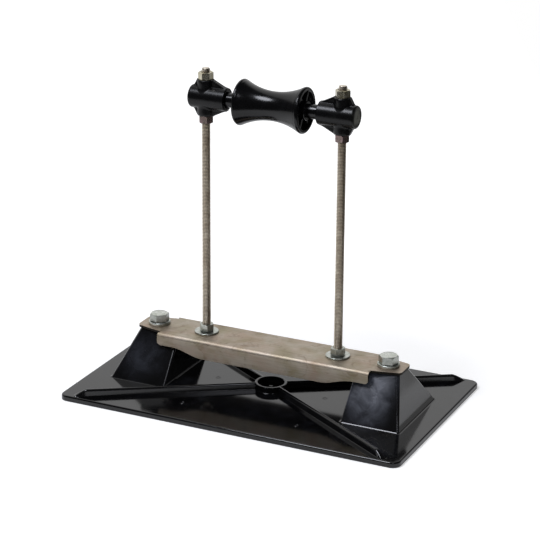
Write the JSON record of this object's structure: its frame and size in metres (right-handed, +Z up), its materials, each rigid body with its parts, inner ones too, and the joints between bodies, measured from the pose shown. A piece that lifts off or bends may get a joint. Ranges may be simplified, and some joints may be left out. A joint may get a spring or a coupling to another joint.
{
  "type": "pipe roller support",
  "caption": "Free-standing pipe roller support: moulded base with hollow pedestals, formed steel channel, threaded rods and a waisted roller set to height by nuts.",
  "frame": {"origin": "on the ground under the middle of the base plate", "axes": "+X along the roller and the base's long side, +Z up, +Y along the pipe that the roller carries"},
  "size_m": [0.4, 0.241, 0.3595],
  "materials": {
    "moulded_base": "glossy moulded black",
    "moulded_socket": "glossy moulded black",
    "moulded_roller": "satin moulded black",
    "channel_steel": "dull galvanised with a warm chromate tint",
    "rod_steel": "zinc plated thread",
    "zinc_plate": "bright zinc plate",
    "yellow_zinc": "zinc plate with yellow chromate"
  },
  "bodies": {
    "stand": {"base": "moulded_base", "cross_channel": "channel_steel", "left_anchor_bolt": "zinc_plate", "right_anchor_bolt": "zinc_plate", "left_lock_washer": "zinc_plate", "right_lock_washer": "zinc_plate", "left_anchor_nut": "zinc_plate", "right_anchor_nut": "zinc_plate", "left_anchor_washer": "zinc_plate", "right_anchor_washer": "zinc_plate", "left_rod": "rod_steel", "right_rod": "rod_steel", "left_seat_nut": "zinc_plate", "right_seat_nut": "zinc_plate", "left_seat_washer": "zinc_plate", "right_seat_washer": "zinc_plate", "left_under_nut": "zinc_plate", "right_under_nut": "zinc_plate", "left_under_washer": "zinc_plate", "right_under_washer": "zinc_plate"},
    "carriage": {"left_socket": "moulded_socket", "right_socket": "moulded_socket"},
    "roller": {"roller": "moulded_roller", "axle": "moulded_roller"},
    "left_height_nuts": {"left_support_nut": "yellow_zinc", "left_lock_nut": "yellow_zinc"},
    "right_height_nuts": {"right_support_nut": "yellow_zinc", "right_lock_nut": "yellow_zinc"}
  },
  "joints": [
    {"name": "roller_height", "type": "slide", "parent": "stand", "child": "carriage", "axis": [0, 0, 1], "range_m": [-0.23, 0.004]},
    {"name": "roller_spin", "type": "hinge", "parent": "carriage", "child": "roller", "pos_m": [0, 0, 0.3275], "axis": [1, 0, 0], "continuous": true},
    {"name": "left_nuts_turn", "type": "hinge", "parent": "carriage", "child": "left_height_nuts", "pos_m": [-0.07938, 0, 0.3275], "axis": [0, 0, 1], "range_deg": [-52200, 950]},
    {"name": "right_nuts_turn", "type": "hinge", "parent": "carriage", "child": "right_height_nuts", "pos_m": [0.07938, 0, 0.3275], "axis": [0, 0, 1], "range_deg": [-52200, 950]}
  ],
  "couplings": [
    {"joint": "left_nuts_turn", "follows": "roller_height", "rad_per_m": 3957.9},
    {"joint": "right_nuts_turn", "follows": "roller_height", "rad_per_m": 3957.9}
  ]
}
